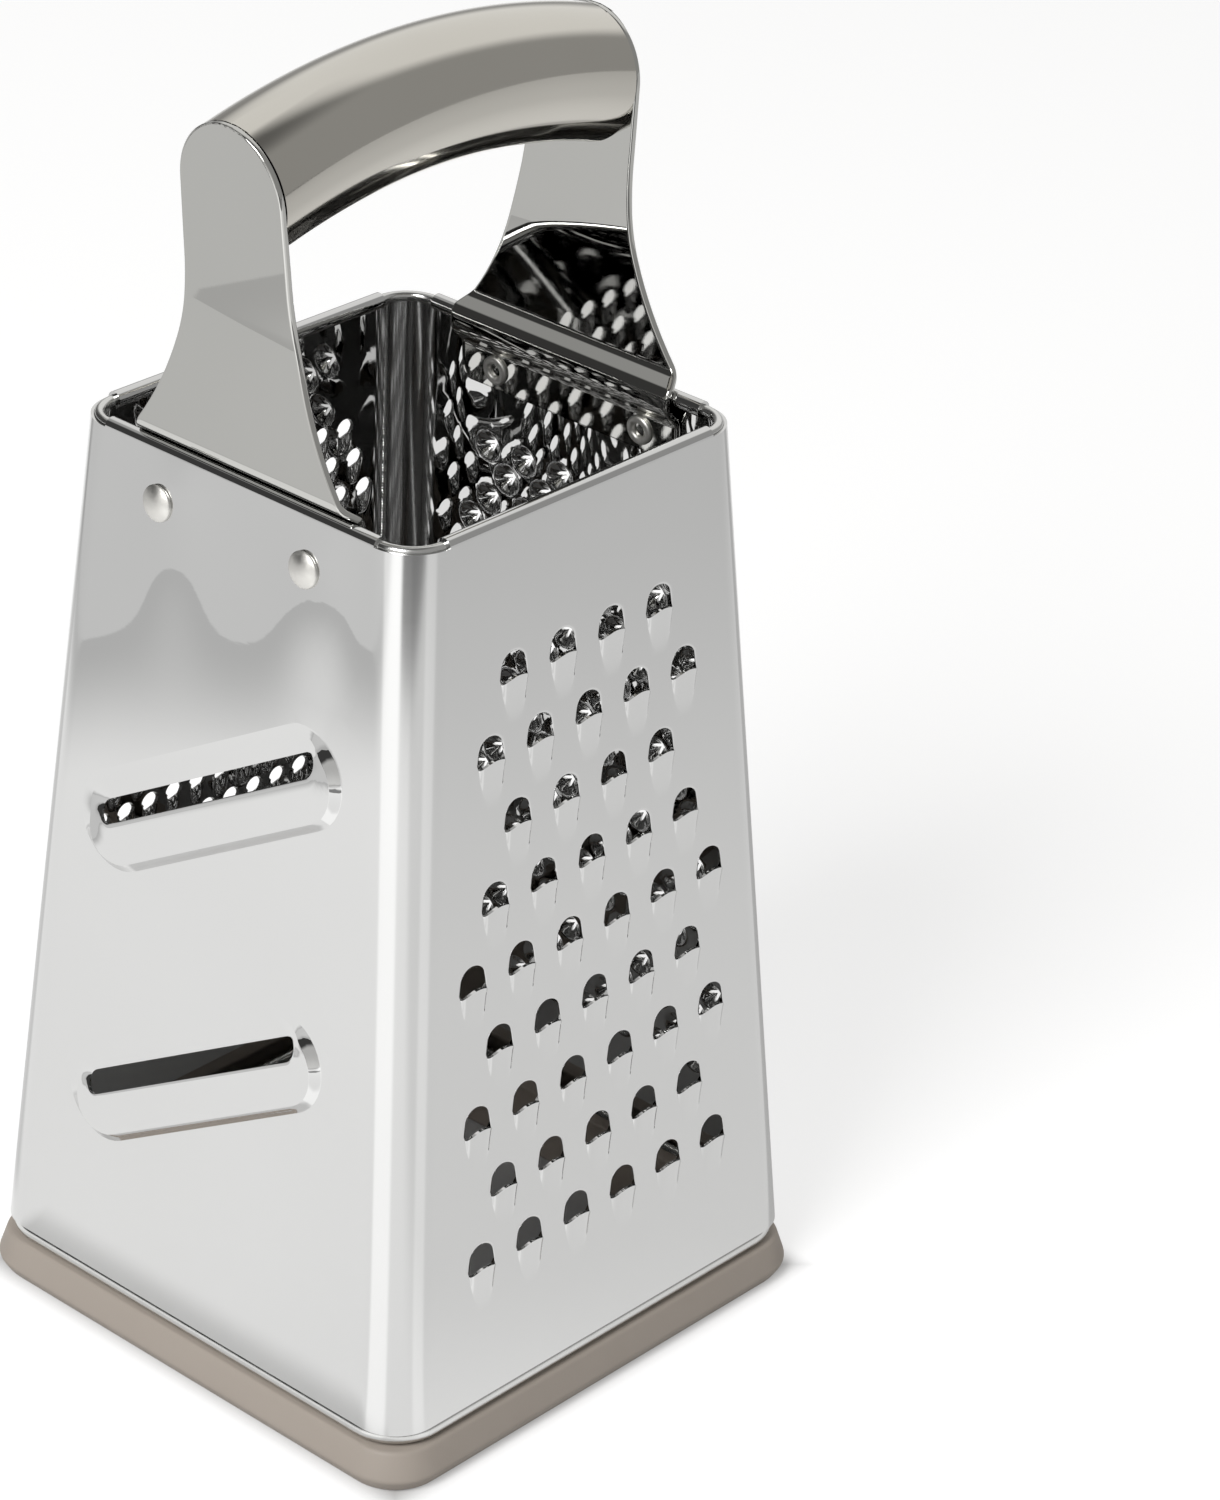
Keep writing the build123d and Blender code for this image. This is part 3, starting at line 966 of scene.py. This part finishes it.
noise_low, noise_high = 0.3, 0.7


def new_material(name):
    mat = bpy.data.materials.new(name)
    mat.use_nodes = True
    tree = mat.node_tree
    tree.nodes.clear()
    shader = tree.nodes.new("ShaderNodeBsdfPrincipled")
    output = tree.nodes.new("ShaderNodeOutputMaterial")
    tree.links.new(shader.outputs["BSDF"], output.inputs["Surface"])
    return mat, tree, shader


def coloured(tree, shader, value, dark, light):
    tree.links.new(blended(tree, value, dark, light), shader.inputs["Base Color"])


def roughened(tree, shader, value, low, high):
    level = ranged(tree, value, noise_low, noise_high, low, high)
    tree.links.new(level, shader.inputs["Roughness"])


def bumped(tree, shader, value, strength, distance):
    node = tree.nodes.new("ShaderNodeBump")
    node.inputs["Strength"].default_value = strength
    node.inputs["Distance"].default_value = distance
    tree.links.new(value, node.inputs["Height"])
    tree.links.new(node.outputs["Normal"], shader.inputs["Normal"])


def steel(name, dark, light, rough, grain, grain_scale, grain_depth):
    mat, tree, shader = new_material(name)
    shader.inputs["Metallic"].default_value = 1.0
    coloured(tree, shader, noise(tree, 28.0, detail=2.0), dark, light)
    lines = noise(tree, grain_scale, grain, detail=4.0)
    roughened(tree, shader, lines, *rough)
    bumped(tree, shader, lines, grain_depth, 0.00002)
    return mat


def bend_roughness(mat, start=-0.001, end=0.002, extra=0.11):
    """Makes the corner bends of the tower less of a mirror than its walls. Places are in metres."""
    tree = mat.node_tree
    shader = [node for node in tree.nodes if node.type == "BSDF_PRINCIPLED"][0]
    socket = shader.inputs["Roughness"]
    walls = socket.links[0].from_socket
    place = sizes_of(tree, tree.nodes.new("ShaderNodeTexCoord").outputs["Object"])
    height = maths(tree, "SUBTRACT", place["Z"], tower_low * MM)
    fall = maths(tree, "MULTIPLY", height, -math.tan(lean))
    flat_half = maths(tree, "ADD", fall, (base_half - bend_radius) * MM)
    past = maths(tree, "SUBTRACT", maths(tree, "MINIMUM", place["X"], place["Y"]), flat_half)
    bend = easing(tree, past, start, end, 0.0, extra)
    tree.links.new(maths(tree, "ADD", walls, bend), socket)


def silicone(name):
    mat, tree, shader = new_material(name)
    coloured(tree, shader, noise(tree, 60.0), (0.40, 0.35, 0.305), (0.43, 0.378, 0.33))
    roughened(tree, shader, noise(tree, 300.0), 0.5, 0.62)
    bumped(tree, shader, noise(tree, 2200.0, detail=2.0), 0.25, 0.00004)
    return mat


wall_steel = steel("wall_steel", (0.595, 0.595, 0.59), (0.615, 0.615, 0.61), rough=(0.008, 0.018),
                   grain=(1, 1, 14), grain_scale=260.0, grain_depth=0.015)
bend_roughness(wall_steel)
wire_steel = steel("wire_steel", (0.60, 0.60, 0.585), (0.64, 0.64, 0.63), rough=(0.16, 0.26),
                   grain=(1, 1, 3), grain_scale=500.0, grain_depth=0.15)
strap_steel = steel("strap_steel", (0.50, 0.498, 0.478), (0.53, 0.527, 0.507), rough=(0.01, 0.022),
                    grain=(30, 1, 1), grain_scale=300.0, grain_depth=0.02)
grip_steel = steel("grip_steel", (0.55, 0.53, 0.485), (0.59, 0.57, 0.525), rough=(0.08, 0.12),
                   grain=(1, 0.2, 1), grain_scale=300.0, grain_depth=0.08)
rivet_steel = steel("rivet_steel", (0.62, 0.61, 0.58), (0.70, 0.69, 0.66), rough=(0.36, 0.5),
                    grain=(1, 1, 1), grain_scale=900.0, grain_depth=0.3)
foot_silicone = silicone("foot_silicone")

tower_body(wall_steel)
weld_bead(wall_steel)
wires(wire_steel)
silicone_ring(foot_silicone)
leg("leg_front", "handle_leg_front", -1, strap_steel)
leg("leg_back", "handle_leg_back", 1, strap_steel)
grip(grip_steel)
rivets(rivet_steel)


# Stage, in metres: a white floor, a soft key light from the front and a quiet room.
# A slope of the floor is (azimuth, distances where it starts and ends, tones before and past it)

floor_albedo = 0.55
floor_lift = 0.66
camera_lift = 0.61
floor_half = 6.0
# The paper darkens towards its edge in front: painted shade that only reflections see
paper_painted_shade = (-55, 0.28, 0.365, 1.0, 0.57)
table_edge = (-55, 0.365, 0.369, 0.0, 0.71)
# Darker far in front, towards the camera: a painted shadow of the camera and its stand, seen only
# in reflections
far_painted_shadow = [(41, 0.54, 0.58), (131, -0.20, -0.12)]
far_painted_shadow_depth = 0.75
# Darker towards the camera's right: a painted shadow of the object, seen only in reflections
right_painted_shadows = [(131.5, 0.02, 0.09, 1.0, 0.84), (131.5, 0.18, 0.50, 1.0, 0.84)]
# Darker beside the medium wall: painted shade, seen only in reflections
left_painted_shade = [(-90, 0.065, 0.085), (180, -0.065, -0.045), (180, 0.02, 0.06, 1.0, 0.0)]
left_painted_shade_depth = 0.28
# The floor's glow is halved along the front of the base: painted contact shade, seen only in
# reflections. The next line gives its side limits
front_painted_shade = (0, 0.064, 0.074, 0.5, 1.0)
front_painted_shade_side = (0.050, 0.060)
object_edge = (0.046, 0.054)

# Painted light: wedges of the floor that open from the front corner of the tower, lighter in
# reflections: azimuth, half angle, extra white
painted_light_wedges = [(4, 20, 0.32), (90, 12, 0.18)]
wedge_tip = (0.04, -0.04, 0)
wedge_start = (0.01, 0.04)
wedge_softness = 4

# The room darkens towards the left in front, and overhead. Its panels are (azimuth, elevation),
# cosines of the angles from there at which they start and are full, and their level
room_dark = ((-45, 15), 0.1, 0.75, 0.40, 0.06)
room_ceiling = (0.78, 0.96, 1.0, 0.4)
room_panels = [((208, 40), 0.78, 0.92, 0.65), ((10, 14), 0.87, 0.94, 0.6),
               ((-95, 62), 0.88, 0.95, 0.4)]
room_white = (1, 0.995, 0.98)
black = (0, 0, 0)


# Share of a wedge of painted light on the floor
def wedge(tree, place, azimuth, spread):
    offset = tree.nodes.new("ShaderNodeVectorMath")
    offset.operation = "SUBTRACT"
    offset.inputs[1].default_value = wedge_tip
    tree.links.new(place, offset.inputs[0])
    ahead = along(tree, offset.outputs[0], compass(azimuth))
    aside = along(tree, offset.outputs[0], compass(azimuth + 90))
    ratio = maths(tree, "DIVIDE", aside, maths(tree, "MAXIMUM", ahead, 0.001))
    slope = maths(tree, "ABSOLUTE", ratio)
    inner = math.tan(math.radians(spread - wedge_softness))
    outer = math.tan(math.radians(spread + wedge_softness))
    inside = easing(tree, slope, inner, outer, 1.0, 0.0)
    return maths(tree, "MULTIPLY", inside, easing(tree, ahead, *wedge_start))


def floor():
    """White paper that ends in front on the left, out of the picture, with a pale table beyond it.

    Its tones are for what the steel reflects, and are painted shade and light: the paper darkens
    towards its edge, the floor is darker towards the camera's right, far in front, beside the
    medium wall and along the front of the base, and lighter in wedges from the front corner. The
    camera sees plain white paper.
    """
    size = floor_half
    corners = [(-size, -size, 0), (size, -size, 0), (size, size, 0), (-size, size, 0)]
    mesh = bpy.data.meshes.new("floor")
    mesh.from_pydata(corners, [], [(0, 1, 2, 3)])
    obj = bpy.data.objects.new("floor", mesh)
    bpy.context.scene.collection.objects.link(obj)
    mat = bpy.data.materials.new("floor_paper")
    mat.use_nodes = True
    tree = mat.node_tree
    tree.nodes.clear()
    place = tree.nodes.new("ShaderNodeTexCoord").outputs["Object"]
    ray = tree.nodes.new("ShaderNodeLightPath").outputs

    def sloped(azimuth, start, end, low=0.0, high=1.0):
        return easing(tree, along(tree, place, compass(azimuth)), start, end, low, high)

    def patch(slopes, depth):
        share = chained(tree, "MULTIPLY", *[sloped(*slope) for slope in slopes])
        return maths(tree, "SUBTRACT", 1.0, maths(tree, "MULTIPLY", share, depth))

    # Painted shade of the floor, which only reflections and bounced light see
    tone = maths(tree, "MAXIMUM", sloped(*paper_painted_shade), sloped(*table_edge))
    painted_shadows = [sloped(*fall) for fall in right_painted_shadows]
    tone = chained(tree, "MULTIPLY", tone, patch(far_painted_shadow, far_painted_shadow_depth), *painted_shadows,
                   patch(left_painted_shade, left_painted_shade_depth))
    tone = maths(tree, "MAXIMUM", tone, ray["Is Camera Ray"])
    paper = tree.nodes.new("ShaderNodeBsdfDiffuse")
    tree.links.new(blended(tree, tone, black, (floor_albedo,) * 3), paper.inputs["Color"])

    # White that the camera and reflections see on top of the light, none of it under the object.
    # Reflections see it with the painted shade of the tones and of the front strip, and with the
    # painted light of the wedges
    aside = sizes_of(tree, place)
    outside = easing(tree, maths(tree, "MAXIMUM", aside["X"], aside["Y"]), *object_edge)
    beside = easing(tree, aside["X"], *front_painted_shade_side)
    contact_shade = maths(tree, "MAXIMUM", sloped(*front_painted_shade), beside)
    lift = chained(tree, "MULTIPLY", tone, contact_shade, floor_lift)
    for azimuth, spread, extra in painted_light_wedges:
        share = maths(tree, "MULTIPLY", wedge(tree, place, azimuth, spread), extra)
        lift = maths(tree, "ADD", lift, share)
    mirrored = maths(tree, "MAXIMUM", ray["Is Glossy Ray"], ray["Is Transmission Ray"])
    seen = maths(tree, "MULTIPLY", ray["Is Camera Ray"], camera_lift)
    lift = maths(tree, "ADD", maths(tree, "MULTIPLY", lift, mirrored), seen)
    lift = maths(tree, "MULTIPLY", lift, outside)
    glow = tree.nodes.new("ShaderNodeEmission")
    tree.links.new(lift, glow.inputs["Strength"])
    both = tree.nodes.new("ShaderNodeAddShader")
    tree.links.new(paper.outputs[0], both.inputs[0])
    tree.links.new(glow.outputs[0], both.inputs[1])
    output = tree.nodes.new("ShaderNodeOutputMaterial")
    tree.links.new(both.outputs[0], output.inputs["Surface"])
    mesh.materials.append(mat)


def room():
    """A quiet room with three pale panels. The camera sees it white."""
    world = bpy.data.worlds.new("room")
    bpy.context.scene.world = world
    world.use_nodes = True
    tree = world.node_tree
    tree.nodes.clear()
    direction = tree.nodes.new("ShaderNodeTexCoord").outputs["Generated"]

    def towards(place, start, end, low, high):
        return easing(tree, along(tree, direction, compass(*place)), start, end, low, high)

    ceiling = easing(tree, along(tree, direction, (0, 0, 1)), *room_ceiling)
    level = maths(tree, "MULTIPLY", towards(*room_dark), ceiling)
    for place, start, end, extra in room_panels:
        level = maths(tree, "ADD", level, towards(place, start, end, 0.0, extra))
    ray = tree.nodes.new("ShaderNodeLightPath").outputs
    level = maths(tree, "MAXIMUM", level, ray["Is Camera Ray"])
    light = tree.nodes.new("ShaderNodeBackground")
    tree.links.new(blended(tree, level, black, room_white), light.inputs["Color"])
    output = tree.nodes.new("ShaderNodeOutputWorld")
    tree.links.new(light.outputs[0], output.inputs["Surface"])


def softbox(name, azimuth, elevation, distance, size, power, aim_height=0.1):
    """A soft rectangular light, turned to a point over the middle of the floor."""
    light = bpy.data.lights.new(name, "AREA")
    light.shape = "RECTANGLE"
    light.size, light.size_y = size
    light.energy = power
    obj = bpy.data.objects.new(name, light)
    bpy.context.scene.collection.objects.link(obj)
    place = compass(azimuth, elevation) * distance
    obj.location = place + Vector((0, 0, aim_height))
    obj.rotation_euler = place.to_track_quat("Z", "Y").to_euler()


def camera(azimuth=41.501, elevation=28.04, roll=2.39):
    """Fitted to the photograph: angles in degrees, places in millimetres, focus in its pixels."""
    focus_px, height_px = 5055.18, 1500
    shift_right, shift_up, distance, stand = 37.69, 80.49, 882.83, 10.5
    sensor = 36.0
    heading, roll = math.radians(azimuth), math.radians(roll)
    back = compass(azimuth, elevation)
    right = Vector((math.cos(heading), math.sin(heading), 0))
    up = back.cross(right)
    right_rolled = right * math.cos(roll) + up * math.sin(roll)
    up_rolled = up * math.cos(roll) - right * math.sin(roll)
    data = bpy.data.cameras.new("camera")
    data.lens = focus_px / height_px * sensor
    data.sensor_width = sensor
    data.sensor_fit = "AUTO"
    data.clip_end = 50.0
    obj = bpy.data.objects.new("camera", data)
    bpy.context.scene.collection.objects.link(obj)
    aside = right_rolled * shift_right + up_rolled * shift_up
    place = aside + back * distance + Vector((0, 0, stand))
    turn = Matrix((right_rolled, up_rolled, back)).transposed().to_4x4()
    obj.matrix_world = Matrix.Translation(place * MM) @ turn
    bpy.context.scene.camera = obj


floor()
room()
softbox("key", azimuth=9, elevation=42, distance=1.6, size=(0.7, 0.7), power=18)
camera()
bpy.context.scene.view_settings.view_transform = "Standard"
